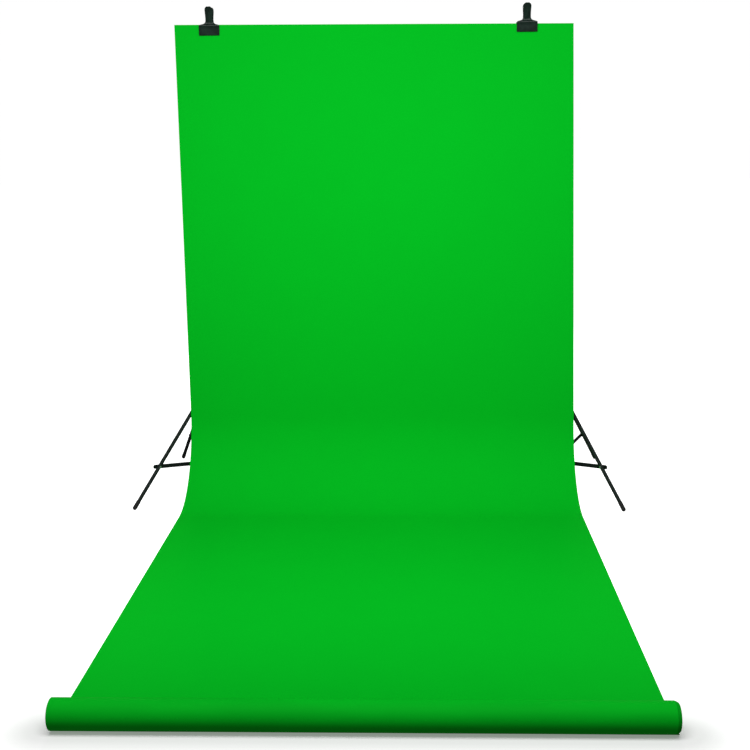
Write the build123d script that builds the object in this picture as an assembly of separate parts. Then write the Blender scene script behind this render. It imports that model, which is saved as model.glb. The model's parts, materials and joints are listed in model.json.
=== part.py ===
from build123d import *
import os
from math import atan2, cos, degrees, hypot, radians, sin, sqrt, tan

# Backdrop paper roll hung on a portable crossbar between two light stands. Millimetres, +Z up.
# +X is along the paper's width, to the viewer's right, and +Y points away from the viewer.
# The origin is on the floor at mid-width, under the middle of the paper's run along the floor.

# Paper
PAPER_WIDTH = 1350.0
PAPER_THICKNESS = 0.5
PAPER_TOP = 1617.0
FLOOR_RUN = 1450.0
COVE_RADIUS = 295.0
DROP_LEAN = 3.86

# Roll on the floor
ROLL_DIAMETER = 70.4
ROLL_GAP = 0.3
CORE_BORE = 50.8
CORE_WALL = 3.5

# Crossbar
BAR_DIAMETER = 25.0
BAR_WALL = 1.2
BAR_BELOW_TOP = 30.0
BAR_PAPER_GAP = 0.3
BAR_PAST_STUD = 22.0
JOINER_LENGTH = 160.0
JOINER_WALL = 1.5

# Stands: column's distance in from the paper's edge, and the turn of each stand's front leg
# outwards from straight sideways
STAND_INSET = 46.0
LEFT_FRONT_LEG_TURN = 56.1
RIGHT_FRONT_LEG_TURN = 60.0
LEGS_PER_STAND = 3

# Telescopic column
LOWER_TUBE_DIAMETER = 25.0
TUBE_WALL = 1.2
LOWER_TUBE_FOOT = 62.0
LOWER_TUBE_TOP = 715.0
MIDDLE_TUBE_FOOT = 480.0
MIDDLE_TUBE_TOP = 1160.0
TOP_TUBE_FOOT = 930.0
SLIDE_CLEARANCE = 0.3

# Stud, plug and wing nut at the top of each column
STUD_DIAMETER = 8.0
STUD_ABOVE_BAR = 11.0
STUD_HOLE_CLEARANCE = 0.3
PLUG_DEPTH = 25.0
FLANGE_HEIGHT = 4.0
NUT_BASE_DIAMETER = 15.0
NUT_TOP_DIAMETER = 12.0
NUT_HEIGHT = 8.0
NUT_LIFT = 0.3
WING_SPAN = 21.0
WING_HEIGHT = 9.0
WING_THICKNESS = 2.6

# Locks that hold the telescopic tubes, and their knobs
LOCK_DIAMETER = 38.0
LOCK_BELOW = 20.0
LOCK_ABOVE = 22.0
BOSS_DIAMETER = 15.0
BOSS_REACH = 8.0
SCREW_DIAMETER = 6.0
SCREW_TIP_GAP = 0.3
KNOB_DIAMETER = 28.0
KNOB_THICKNESS = 13.0
KNOB_GAP = 2.0
KNOB_GROOVES = 6
KNOB_GROOVE_DIAMETER = 7.0
KNOB_NECK_DIAMETER = 11.0

# Leg spread: where the legs pivot on the collar, where they stand and where the braces join them
LEG_PIVOT_HEIGHT = 340.0
LEG_PIVOT_RADIUS = 30.0
FOOT_SPREAD = 380.0
BRACE_JOINT_DOWN_LEG = 314.0
HUB_PIVOT_HEIGHT = 85.0
HUB_PIVOT_RADIUS = 28.0
FOLDED_BRACE_ANGLE = 75.0

# Legs, feet, braces and their pivots
LEG_DIAMETER = 13.0
LEG_WALL = 1.0
LEG_TUBE_START = 10.5
LEG_EYE_THICKNESS = 6.0
LEG_EYE_DIAMETER = 13.0
FOOT_WALL = 0.8
FOOT_GRIP = 24.0
FOOT_SOLE = 3.0
BRACE_WIDTH = 14.0
BRACE_THICKNESS = 3.0
BRACE_STUB = 12.0
BRACE_LEG_GAP = 0.6
PIN_DIAMETER = 5.0
PIN_CLEARANCE = 0.08
PIN_HEAD_DIAMETER = 8.0
PIN_HEAD_THICKNESS = 1.4
EAR_THICKNESS = 3.0
EAR_GAP = 0.4
EAR_WIDTH = 14.0

# Sliding collar that carries the legs, and the fixed hub that carries the braces
COLLAR_DIAMETER = 40.0
COLLAR_HEIGHT = 44.0
HUB_DIAMETER = 36.0
HUB_HEIGHT = 24.0

# Spring clips
LEFT_CLIP_INSET = 99.0
RIGHT_CLIP_INSET = 176.0
CLIP_PIVOT_ABOVE_TOP = 7.0
CLIP_JAW_WIDTH = 70.0
CLIP_JAW_HEIGHT = 31.0
CLIP_HANDLE_WIDTH = 26.0
CLIP_HANDLE_HEIGHT = 56.0
CLIP_PLATE = 3.5
CLIP_WAIST = 8.0
CLIP_HANDLE_SPREAD = 18.0
CLIP_SHOULDER = 9.0
CLIP_JAW_GAP = 0.3
CLIP_PIN_DIAMETER = 4.0
CLIP_EAR_THICKNESS = 2.0
CLIP_EAR_DIAMETER = 10.0
CLIP_EAR_INSET = 2.0
SPRING_WIRE = 1.6
SPRING_TURNS = 5
SPRING_ARM = 14.0

# Places worked out from the sizes above
LEAN = radians(DROP_LEAN)
HALF_WIDTH = PAPER_WIDTH / 2
LEFT_CLIP_X = LEFT_CLIP_INSET - HALF_WIDTH
RIGHT_CLIP_X = HALF_WIDTH - RIGHT_CLIP_INSET
STAND_SPACING = PAPER_WIDTH - 2 * STAND_INSET
BAR_LENGTH = STAND_SPACING + 2 * BAR_PAST_STUD
SWEEP_FOOT_Y = FLOOR_RUN / 2
ROLL_Y = -FLOOR_RUN / 2
ROLL_RADIUS = ROLL_DIAMETER / 2
ROLL_Z = PAPER_THICKNESS + ROLL_GAP + ROLL_RADIUS
CORE_RADIUS = CORE_BORE / 2 + CORE_WALL
COVE_END_Y = SWEEP_FOOT_Y + COVE_RADIUS * cos(LEAN)
COVE_END_Z = COVE_RADIUS - COVE_RADIUS * sin(LEAN)
BAR_RADIUS = BAR_DIAMETER / 2
BAR_Z = PAPER_TOP - BAR_BELOW_TOP
BAR_INNER_RADIUS = BAR_RADIUS - BAR_WALL
LOWER_TUBE_RADIUS = LOWER_TUBE_DIAMETER / 2
MIDDLE_TUBE_RADIUS = LOWER_TUBE_RADIUS - TUBE_WALL - SLIDE_CLEARANCE
TOP_TUBE_RADIUS = MIDDLE_TUBE_RADIUS - TUBE_WALL - SLIDE_CLEARANCE
TOP_TUBE_END = BAR_Z - BAR_RADIUS - FLANGE_HEIGHT
LEG_RADIUS = LEG_DIAMETER / 2
FOOT_RADIUS = LEG_RADIUS + FOOT_WALL
PIN_RADIUS = PIN_DIAMETER / 2


def sheet_back_y(z):
    """Y of the hanging paper's back face at height z."""
    return COVE_END_Y + (z - COVE_END_Z) * tan(LEAN)


BAR_Y = sheet_back_y(BAR_Z) + (BAR_RADIUS + BAR_PAPER_GAP) / cos(LEAN)

# Leg linkage in one leg's upright plane: r from the column's axis, z up
LEG_LENGTH = hypot(FOOT_SPREAD - LEG_PIVOT_RADIUS, LEG_PIVOT_HEIGHT - FOOT_RADIUS)
LEG_ANGLE = degrees(atan2(FOOT_SPREAD - LEG_PIVOT_RADIUS, LEG_PIVOT_HEIGHT - FOOT_RADIUS))
JOINT_R = LEG_PIVOT_RADIUS + BRACE_JOINT_DOWN_LEG * sin(radians(LEG_ANGLE))
JOINT_Z = LEG_PIVOT_HEIGHT - BRACE_JOINT_DOWN_LEG * cos(radians(LEG_ANGLE))
BRACE_LENGTH = hypot(JOINT_R - HUB_PIVOT_RADIUS, JOINT_Z - HUB_PIVOT_HEIGHT)
BRACE_ANGLE = degrees(atan2(JOINT_Z - HUB_PIVOT_HEIGHT, JOINT_R - HUB_PIVOT_RADIUS))
BRACE_OFFSET = LEG_RADIUS + BRACE_LEG_GAP + BRACE_THICKNESS / 2
FOLDED_JOINT_R = HUB_PIVOT_RADIUS + BRACE_LENGTH * cos(radians(FOLDED_BRACE_ANGLE))
FOLDED_JOINT_Z = HUB_PIVOT_HEIGHT + BRACE_LENGTH * sin(radians(FOLDED_BRACE_ANGLE))
FOLDED_LEG_RUN = FOLDED_JOINT_R - LEG_PIVOT_RADIUS
FOLDED_LEG_RISE = sqrt(BRACE_JOINT_DOWN_LEG**2 - FOLDED_LEG_RUN**2)
FOLDED_LEG_ANGLE = degrees(atan2(FOLDED_LEG_RUN, FOLDED_LEG_RISE))
FOLD_TRAVEL = FOLDED_JOINT_Z + FOLDED_LEG_RISE - LEG_PIVOT_HEIGHT

FROM_BELOW = (Align.CENTER, Align.CENTER, Align.MIN)


def rod(radius, length):
    """Cylinder from the origin up +Z."""
    return Cylinder(radius, length, align=FROM_BELOW)


def pipe(outer, inner, low, high):
    """Upright tube about the Z axis between two heights."""
    return Pos(0, 0, low) * (rod(outer, high - low) - rod(inner, high - low))


def along_x(radius, start, end):
    """Cylinder along the X axis between two X positions."""
    return Pos(start, 0, 0) * Rot(0, 90, 0) * rod(radius, end - start)


def along_y(radius, start, end):
    """Cylinder along the Y axis between two Y positions."""
    return Pos(0, start, 0) * Rot(-90, 0, 0) * rod(radius, end - start)


def prism_x(outline, half_width):
    """Closed outline of (y, z) points, drawn out both ways along X."""
    return extrude(Plane.YZ * make_face(Polyline(*outline, close=True)), half_width, both=True)


def plate_y(length, width, low, high):
    """Round-ended link in the XZ plane, from the origin along +X, between two Y positions."""
    middle = (low + high) / 2
    thickness = high - low
    bar = Pos(length / 2, middle, 0) * Box(length, thickness, width)
    near = along_y(width / 2, low, high)
    far = Pos(length, 0, 0) * along_y(width / 2, low, high)
    return bar + near + far


# ---- paper ----


def paper_sweep():
    """Paper along the floor and up the cove, as far as the straight drop."""
    centre = (SWEEP_FOOT_Y, COVE_RADIUS)
    inner = COVE_RADIUS - PAPER_THICKNESS
    sweep = radians(90 - DROP_LEAN)

    def on_cove(radius, turn):
        return (centre[0] + radius * sin(turn), centre[1] - radius * cos(turn))

    edges = [
        Line((ROLL_Y, 0), (SWEEP_FOOT_Y, 0)),
        ThreePointArc((SWEEP_FOOT_Y, 0), on_cove(COVE_RADIUS, sweep / 2), on_cove(COVE_RADIUS, sweep)),
        Line(on_cove(COVE_RADIUS, sweep), on_cove(inner, sweep)),
        ThreePointArc(on_cove(inner, sweep), on_cove(inner, sweep / 2), (SWEEP_FOOT_Y, PAPER_THICKNESS)),
        Line((SWEEP_FOOT_Y, PAPER_THICKNESS), (ROLL_Y, PAPER_THICKNESS)),
        Line((ROLL_Y, PAPER_THICKNESS), (ROLL_Y, 0)),
    ]
    return extrude(Plane.YZ * make_face(edges), HALF_WIDTH, both=True)


def paper_drop():
    """Straight paper from the top of the cove up to the crossbar."""
    step_y = -PAPER_THICKNESS * cos(LEAN)
    step_z = PAPER_THICKNESS * sin(LEAN)
    top_y = sheet_back_y(PAPER_TOP)
    outline = [
        (COVE_END_Y, COVE_END_Z),
        (top_y, PAPER_TOP),
        (top_y + step_y, PAPER_TOP + step_z),
        (COVE_END_Y + step_y, COVE_END_Z + step_z),
    ]
    return prism_x(outline, HALF_WIDTH)


def roll_pieces():
    """Wound paper and the cardboard core inside it."""
    place = Pos(0, ROLL_Y, ROLL_Z)
    ends = (-HALF_WIDTH, HALF_WIDTH)
    core = along_x(CORE_RADIUS, *ends)
    return {
        "wound_paper": place * (along_x(ROLL_RADIUS, *ends) - core),
        "core_tube": place * (core - along_x(CORE_BORE / 2, *ends)),
    }


# ---- crossbar ----


def bar_section(start, end, stud_x):
    """One section of the crossbar with the hole that drops over its stud."""
    hollow = along_x(BAR_RADIUS, start, end) - along_x(BAR_INNER_RADIUS, start, end)
    drill = Pos(stud_x, 0, -BAR_DIAMETER) * rod(STUD_DIAMETER / 2 + STUD_HOLE_CLEARANCE, 2 * BAR_DIAMETER)
    return Pos(0, BAR_Y, BAR_Z) * (hollow - drill)


def wing_nut():
    """Wing nut about the Z axis, standing on the bar's top."""
    base = Cone(NUT_BASE_DIAMETER / 2, NUT_TOP_DIAMETER / 2, NUT_HEIGHT, align=FROM_BELOW)
    root = NUT_TOP_DIAMETER / 2 - 1
    tip = WING_SPAN / 2
    outline = [(root, 1), (tip - 3, WING_HEIGHT - 3), (tip, WING_HEIGHT + 2), (tip - 4, WING_HEIGHT + 4), (root, NUT_HEIGHT)]
    wing = extrude(Plane.XZ * make_face(Polyline(*outline, close=True)), WING_THICKNESS / 2, both=True)
    bore = rod(STUD_DIAMETER / 2 + 0.05, WING_SPAN)
    return base + wing + Rot(0, 0, 180) * wing - bore


def stud():
    """Plug in the top tube's end, with a flange under the bar and the threaded stud through it."""
    plug = Pos(0, 0, TOP_TUBE_END - PLUG_DEPTH) * rod(TOP_TUBE_RADIUS - TUBE_WALL, PLUG_DEPTH)
    flange = Pos(0, 0, TOP_TUBE_END) * rod(TOP_TUBE_RADIUS, FLANGE_HEIGHT)
    length = BAR_Z + BAR_RADIUS + STUD_ABOVE_BAR - TOP_TUBE_END
    thread = Pos(0, 0, TOP_TUBE_END) * rod(STUD_DIAMETER / 2, length)
    return plug + flange + thread


def crossbar_pieces():
    """Two-section bar, the joiner inside it and the wing nuts that hold it down."""
    half = BAR_LENGTH / 2
    joiner_half = JOINER_LENGTH / 2
    joiner = along_x(BAR_INNER_RADIUS, -joiner_half, joiner_half)
    joiner -= along_x(BAR_INNER_RADIUS - JOINER_WALL, -joiner_half, joiner_half)
    nodes = {
        "crossbar_left_section": bar_section(-half, 0, -STAND_SPACING / 2),
        "crossbar_right_section": bar_section(0, half, STAND_SPACING / 2),
        "crossbar_joiner": Pos(0, BAR_Y, BAR_Z) * joiner,
    }
    for side, x in (("left", -STAND_SPACING / 2), ("right", STAND_SPACING / 2)):
        nodes[f"{side}_wing_nut"] = Pos(x, BAR_Y, BAR_Z + BAR_RADIUS + NUT_LIFT) * wing_nut()
    return nodes


# ---- spring clips ----


def clip_arm(facing, jaw_face, ear_middle, ear_hole):
    """One arm of a clip about its pivot at the origin. facing is -1 for the front arm, 1 for the rear.
    jaw_face is how far the jaw's inner face stands from the pivot's plane."""
    outer = jaw_face + CLIP_PLATE
    jaw_top = -CLIP_PIVOT_ABOVE_TOP + 1
    jaw_tip = -CLIP_PIVOT_ABOVE_TOP - CLIP_JAW_HEIGHT
    waist_in = CLIP_WAIST - CLIP_PLATE / 2
    waist_out = CLIP_WAIST + CLIP_PLATE / 2
    spread = CLIP_HANDLE_SPREAD
    side = [
        (jaw_face, jaw_tip),
        (jaw_face, jaw_top),
        (waist_in, -1),
        (waist_in, 5),
        (spread - CLIP_PLATE / 2, CLIP_HANDLE_HEIGHT),
        (spread + CLIP_PLATE / 2, CLIP_HANDLE_HEIGHT),
        (waist_out, 5),
        (waist_out, -1),
        (outer, jaw_top - 1),
        (outer, jaw_tip),
    ]
    body = prism_x([(facing * y, z) for y, z in side], CLIP_JAW_WIDTH / 2)
    half_jaw = CLIP_JAW_WIDTH / 2
    half_handle = CLIP_HANDLE_WIDTH / 2
    shoulder_low = jaw_top - 1
    front = [
        (-half_jaw, jaw_tip - 1),
        (half_jaw, jaw_tip - 1),
        (half_jaw, shoulder_low),
        (half_handle + 3, shoulder_low + CLIP_SHOULDER),
        (half_handle, shoulder_low + CLIP_SHOULDER + 4),
        (half_handle, CLIP_HANDLE_HEIGHT - 5),
        (half_handle - 5, CLIP_HANDLE_HEIGHT + 1),
        (5 - half_handle, CLIP_HANDLE_HEIGHT + 1),
        (-half_handle, CLIP_HANDLE_HEIGHT - 5),
        (-half_handle, shoulder_low + CLIP_SHOULDER + 4),
        (-half_handle - 3, shoulder_low + CLIP_SHOULDER),
        (-half_jaw, shoulder_low),
    ]
    trim = extrude(Plane.XZ * make_face(Polyline(*front, close=True)), 2 * CLIP_JAW_WIDTH, both=True)
    arm = body & trim
    for x in (-ear_middle, ear_middle):
        low = x - CLIP_EAR_THICKNESS / 2
        high = x + CLIP_EAR_THICKNESS / 2
        web = Pos(x, facing * waist_in / 2, 0) * Box(CLIP_EAR_THICKNESS, waist_in, CLIP_EAR_DIAMETER * 0.8)
        arm += along_x(CLIP_EAR_DIAMETER / 2, low, high) + web
    return arm - along_x(ear_hole, -half_handle - 1, half_handle + 1)


def clip_spring(inner_radius, half_length):
    """Coil of touching turns about the pin, with one arm up behind each handle."""
    ring = inner_radius + SPRING_WIRE / 2
    pitch = SPRING_WIRE * 0.96
    first = -pitch * (SPRING_TURNS - 1) / 2
    coil = None
    for turn in range(SPRING_TURNS):
        wind = Pos(first + turn * pitch, 0, 0) * Rot(0, 90, 0) * Torus(ring, SPRING_WIRE / 2)
        coil = wind if coil is None else coil + wind
    reach = min(SPRING_ARM, half_length * 8)
    for x, y in ((first, -ring), (-first, ring)):
        coil += Pos(x, y, 0) * rod(SPRING_WIRE / 2, reach)
    return coil


def clip_pieces(side, x):
    """Front and rear arms, hinge pin and torsion spring of one clip, closed on the bar."""
    lean_shift = CLIP_JAW_HEIGHT * tan(LEAN)
    front_face = BAR_Y - sheet_back_y(PAPER_TOP) + PAPER_THICKNESS + lean_shift + CLIP_JAW_GAP
    rear_face = BAR_RADIUS + CLIP_JAW_GAP
    pin_radius = CLIP_PIN_DIAMETER / 2
    front_ear = CLIP_HANDLE_WIDTH / 2 - CLIP_EAR_INSET
    rear_ear = front_ear - CLIP_EAR_THICKNESS - EAR_GAP
    place = Pos(x, BAR_Y, PAPER_TOP + CLIP_PIVOT_ABOVE_TOP)
    half_pin = CLIP_HANDLE_WIDTH / 2
    pin = along_x(pin_radius, -half_pin, half_pin)
    for end in (-half_pin, half_pin - 1):
        pin += along_x(pin_radius + 1, end, end + 1)
    return {
        f"{side}_clip_front_arm": place * clip_arm(-1, front_face, front_ear, pin_radius + 0.06),
        f"{side}_clip_rear_arm": place * clip_arm(1, rear_face, rear_ear, pin_radius),
        f"{side}_clip_pin": place * pin,
        f"{side}_clip_spring": place * clip_spring(pin_radius + 0.2, rear_ear),
    }


# ---- light stands ----


def lock(tube_radius, tube_top, next_radius):
    """Lock clamped on a tube's top end, with a boss for its screw on the next tube."""
    boss_z = tube_top + LOCK_ABOVE / 2
    body = Pos(0, 0, tube_top - LOCK_BELOW) * rod(LOCK_DIAMETER / 2, LOCK_BELOW + LOCK_ABOVE)
    body = chamfer(body.edges().filter_by(GeomType.CIRCLE), 2)
    body += Pos(0, 0, boss_z) * along_x(BOSS_DIAMETER / 2, 0, LOCK_DIAMETER / 2 + BOSS_REACH)
    body -= Pos(0, 0, tube_top - LOCK_BELOW - 1) * rod(tube_radius, LOCK_BELOW + 1)
    body -= Pos(0, 0, tube_top) * rod(next_radius + SLIDE_CLEARANCE, LOCK_ABOVE + 1)
    screw_bore = along_x(SCREW_DIAMETER / 2 + PIN_CLEARANCE, next_radius, LOCK_DIAMETER)
    return body - Pos(0, 0, boss_z) * screw_bore


def knob(tip, boss_face):
    """Knob along +X: a screw from tip, a neck and a grooved head beyond the boss."""
    head_start = boss_face + KNOB_GAP
    head_end = head_start + KNOB_THICKNESS
    head = along_x(KNOB_DIAMETER / 2, head_start, head_end)
    head = fillet(head.edges().filter_by(GeomType.CIRCLE), 2)
    for index in range(KNOB_GROOVES):
        groove = Pos(0, 0, KNOB_DIAMETER / 2 + 1.5) * along_x(KNOB_GROOVE_DIAMETER / 2, head_start - 1, head_end + 1)
        head -= Rot(360 / KNOB_GROOVES * index, 0, 0) * groove
    neck = along_x(KNOB_NECK_DIAMETER / 2, boss_face + 0.5, head_start)
    return head + neck + along_x(SCREW_DIAMETER / 2, tip, head_start)


def leg_collar():
    """Sliding collar with three pairs of ears for the legs and a boss for its lock screw."""
    low = LEG_PIVOT_HEIGHT - COLLAR_HEIGHT / 2
    body = Pos(0, 0, low) * rod(COLLAR_DIAMETER / 2, COLLAR_HEIGHT)
    body = chamfer(body.edges().filter_by(GeomType.CIRCLE), 2)
    inner = LEG_EYE_THICKNESS / 2 + EAR_GAP
    for turn in leg_turns():
        for start in (inner, -inner - EAR_THICKNESS):
            ear = plate_y(LEG_PIVOT_RADIUS, EAR_WIDTH, start, start + EAR_THICKNESS)
            body += Rot(0, 0, turn) * Pos(0, 0, LEG_PIVOT_HEIGHT) * ear
        drill = along_y(PIN_RADIUS, -inner - EAR_THICKNESS - 1, inner + EAR_THICKNESS + 1)
        body -= Rot(0, 0, turn) * Pos(LEG_PIVOT_RADIUS, 0, LEG_PIVOT_HEIGHT) * drill
    boss = along_x(BOSS_DIAMETER / 2, 0, COLLAR_DIAMETER / 2 + BOSS_REACH)
    body += Rot(0, 0, knob_turn()) * Pos(0, 0, LEG_PIVOT_HEIGHT) * boss
    body -= Pos(0, 0, low - 1) * rod(LOWER_TUBE_RADIUS + SLIDE_CLEARANCE, COLLAR_HEIGHT + 2)
    bore = along_x(SCREW_DIAMETER / 2 + PIN_CLEARANCE, LOWER_TUBE_RADIUS, COLLAR_DIAMETER)
    return body - Rot(0, 0, knob_turn()) * Pos(0, 0, LEG_PIVOT_HEIGHT) * bore


def leg_turns():
    """Turn of each leg about the column, from the front leg."""
    return [360 / LEGS_PER_STAND * index for index in range(LEGS_PER_STAND)]


def knob_turn():
    """Turn of the knobs about the column, half-way between two legs."""
    return 180


def leg_pins():
    """The pins that the legs turn on, with a head each end."""
    pins = []
    reach = LEG_EYE_THICKNESS / 2 + EAR_GAP + EAR_THICKNESS
    for turn in leg_turns():
        place = Rot(0, 0, turn) * Pos(LEG_PIVOT_RADIUS, 0, LEG_PIVOT_HEIGHT)
        pins.append(place * headed_pin(-reach, reach))
    return pins


def headed_pin(start, end):
    """Pin along Y between two faces, with a flat round head outside each."""
    pin = along_y(PIN_RADIUS, start, end)
    pin += along_y(PIN_HEAD_DIAMETER / 2, start - PIN_HEAD_THICKNESS, start)
    return pin + along_y(PIN_HEAD_DIAMETER / 2, end, end + PIN_HEAD_THICKNESS)


def brace_ears(side):
    """Y extents of the two hub ears beside a brace; side is the side of the leg it runs on."""
    middle = side * BRACE_OFFSET
    inner = BRACE_THICKNESS / 2 + EAR_GAP
    return [(middle + inner, middle + inner + EAR_THICKNESS), (middle - inner - EAR_THICKNESS, middle - inner)]


def lower_hub(side):
    """Hub fixed round the column's foot, with a pair of ears for each brace."""
    low = HUB_PIVOT_HEIGHT - HUB_HEIGHT / 2
    body = Pos(0, 0, low) * rod(HUB_DIAMETER / 2, HUB_HEIGHT)
    body = chamfer(body.edges().filter_by(GeomType.CIRCLE), 2)
    for turn in leg_turns():
        for start, end in brace_ears(side):
            ear = plate_y(HUB_PIVOT_RADIUS, EAR_WIDTH, start, end)
            body += Rot(0, 0, turn) * Pos(0, 0, HUB_PIVOT_HEIGHT) * ear
        reach = BRACE_OFFSET + EAR_THICKNESS + BRACE_THICKNESS
        drill = along_y(PIN_RADIUS, -reach, reach)
        body -= Rot(0, 0, turn) * Pos(HUB_PIVOT_RADIUS, 0, HUB_PIVOT_HEIGHT) * drill
    return body - Pos(0, 0, low - 1) * rod(LOWER_TUBE_RADIUS, HUB_HEIGHT + 2)


def hub_rivets(side):
    """The rivets that the braces turn on."""
    ears = brace_ears(side)
    start = min(low for low, high in ears)
    end = max(high for low, high in ears)
    rivets = []
    for turn in leg_turns():
        place = Rot(0, 0, turn) * Pos(HUB_PIVOT_RADIUS, 0, HUB_PIVOT_HEIGHT)
        rivets.append(place * headed_pin(start, end))
    return rivets


def leg():
    """Tubular leg hanging from its pivot eye, in its own frame with the pivot at the origin."""
    tube_end = LEG_LENGTH - FOOT_SOLE
    tube = Pos(0, 0, -tube_end) * rod(LEG_RADIUS, tube_end - LEG_TUBE_START)
    tube -= Pos(0, 0, -tube_end) * rod(LEG_RADIUS - LEG_WALL, tube_end - 2 * LEG_TUBE_START)
    half_eye = LEG_EYE_THICKNESS / 2
    eye = along_y(LEG_EYE_DIAMETER / 2, -half_eye, half_eye)
    neck = Pos(0, 0, -LEG_TUBE_START / 2) * Box(LEG_EYE_DIAMETER, LEG_EYE_THICKNESS, LEG_TUBE_START)
    bore = along_y(PIN_RADIUS + PIN_CLEARANCE, -LEG_EYE_THICKNESS, LEG_EYE_THICKNESS)
    return tube + eye + neck - bore


def foot():
    """Rubber foot over the leg's end, in the leg's frame."""
    tube_end = LEG_LENGTH - FOOT_SOLE
    sleeve = Pos(0, 0, -LEG_LENGTH) * rod(FOOT_RADIUS, FOOT_GRIP + FOOT_SOLE)
    ball = Pos(0, 0, -LEG_LENGTH) * Sphere(FOOT_RADIUS)
    socket = Pos(0, 0, -tube_end) * rod(LEG_RADIUS, FOOT_GRIP + 1)
    return sleeve + ball - socket


def brace(side):
    """Flat brace along +X from its hub pivot at the origin, running past the leg by a stub."""
    middle = side * BRACE_OFFSET
    half = BRACE_THICKNESS / 2
    bar = plate_y(BRACE_LENGTH + BRACE_STUB, BRACE_WIDTH, middle - half, middle + half)
    return bar - along_y(PIN_RADIUS + PIN_CLEARANCE, middle - BRACE_THICKNESS, middle + BRACE_THICKNESS)


def stand_pieces(name, x, front_turn, side):
    """Every piece of one stand. side says which side of the legs their braces run on."""
    place = Pos(x, BAR_Y, 0) * Rot(0, 0, front_turn)
    turned_knob = Rot(0, 0, knob_turn())
    lower_inner = LOWER_TUBE_RADIUS - TUBE_WALL
    middle_inner = MIDDLE_TUBE_RADIUS - TUBE_WALL
    top_inner = TOP_TUBE_RADIUS - TUBE_WALL
    lock_face = LOCK_DIAMETER / 2 + BOSS_REACH
    collar_face = COLLAR_DIAMETER / 2 + BOSS_REACH
    lower_screw = Pos(0, 0, LOWER_TUBE_TOP + LOCK_ABOVE / 2) * knob(MIDDLE_TUBE_RADIUS + SCREW_TIP_GAP, lock_face)
    upper_screw = Pos(0, 0, MIDDLE_TUBE_TOP + LOCK_ABOVE / 2) * knob(TOP_TUBE_RADIUS + SCREW_TIP_GAP, lock_face)
    collar_screw = Pos(0, 0, LEG_PIVOT_HEIGHT) * knob(LOWER_TUBE_RADIUS + SCREW_TIP_GAP, collar_face)
    local = {
        "lower_tube": pipe(LOWER_TUBE_RADIUS, lower_inner, LOWER_TUBE_FOOT, LOWER_TUBE_TOP),
        "middle_tube": pipe(MIDDLE_TUBE_RADIUS, middle_inner, MIDDLE_TUBE_FOOT, MIDDLE_TUBE_TOP),
        "top_tube": pipe(TOP_TUBE_RADIUS, top_inner, TOP_TUBE_FOOT, TOP_TUBE_END),
        "stud": stud(),
        "lower_lock": turned_knob * lock(LOWER_TUBE_RADIUS, LOWER_TUBE_TOP, MIDDLE_TUBE_RADIUS),
        "upper_lock": turned_knob * lock(MIDDLE_TUBE_RADIUS, MIDDLE_TUBE_TOP, TOP_TUBE_RADIUS),
        "lower_lock_knob": turned_knob * lower_screw,
        "upper_lock_knob": turned_knob * upper_screw,
        "leg_collar": leg_collar(),
        "leg_collar_knob": turned_knob * collar_screw,
        "leg_pins": Compound(children=leg_pins()),
        "lower_hub": lower_hub(side),
    }
    for index, turn in enumerate(leg_turns(), start=1):
        leg_place = Rot(0, 0, turn) * Pos(LEG_PIVOT_RADIUS, 0, LEG_PIVOT_HEIGHT) * Rot(0, -LEG_ANGLE, 0)
        brace_place = Rot(0, 0, turn) * Pos(HUB_PIVOT_RADIUS, 0, HUB_PIVOT_HEIGHT) * Rot(0, -BRACE_ANGLE, 0)
        local[f"leg_{index}"] = leg_place * leg()
        local[f"foot_{index}"] = leg_place * foot()
        local[f"brace_{index}"] = brace_place * brace(side)
    return {f"{name}_{key}": place * shape for key, shape in local.items()}


def build_nodes():
    """Every node of the object, by name."""
    half = STAND_SPACING / 2
    left_turn = 180 + LEFT_FRONT_LEG_TURN
    right_turn = -RIGHT_FRONT_LEG_TURN
    rivets = [Pos(-half, BAR_Y, 0) * Rot(0, 0, left_turn) * rivet for rivet in hub_rivets(-1)]
    rivets += [Pos(half, BAR_Y, 0) * Rot(0, 0, right_turn) * rivet for rivet in hub_rivets(1)]
    nodes = {"paper_sweep": paper_sweep(), "paper_drop": paper_drop(), **roll_pieces()}
    nodes |= crossbar_pieces()
    nodes |= clip_pieces("left", LEFT_CLIP_X)
    nodes |= clip_pieces("right", RIGHT_CLIP_X)
    nodes |= stand_pieces("left", -half, left_turn, -1)
    nodes |= stand_pieces("right", half, right_turn, 1)
    nodes["hub_rivets"] = Compound(children=rivets)
    return nodes


os.makedirs("parts", exist_ok=True)
for node_name, node_shape in build_nodes().items():
    export_step(node_shape, f"parts/{node_name}.step")
print("fold travel", round(FOLD_TRAVEL, 3), "leg", round(LEG_ANGLE, 3), "to", round(FOLDED_LEG_ANGLE, 3))
print("brace", round(BRACE_ANGLE, 3), "to", round(FOLDED_BRACE_ANGLE, 3), "length", round(BRACE_LENGTH, 3))
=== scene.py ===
"""Backdrop paper roll on a portable crossbar and two light stands, laid out as an add-on."""

import json
from math import cos, hypot, pi, radians, sin

import bmesh
import bpy
from mathutils import Matrix, Vector


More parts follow.
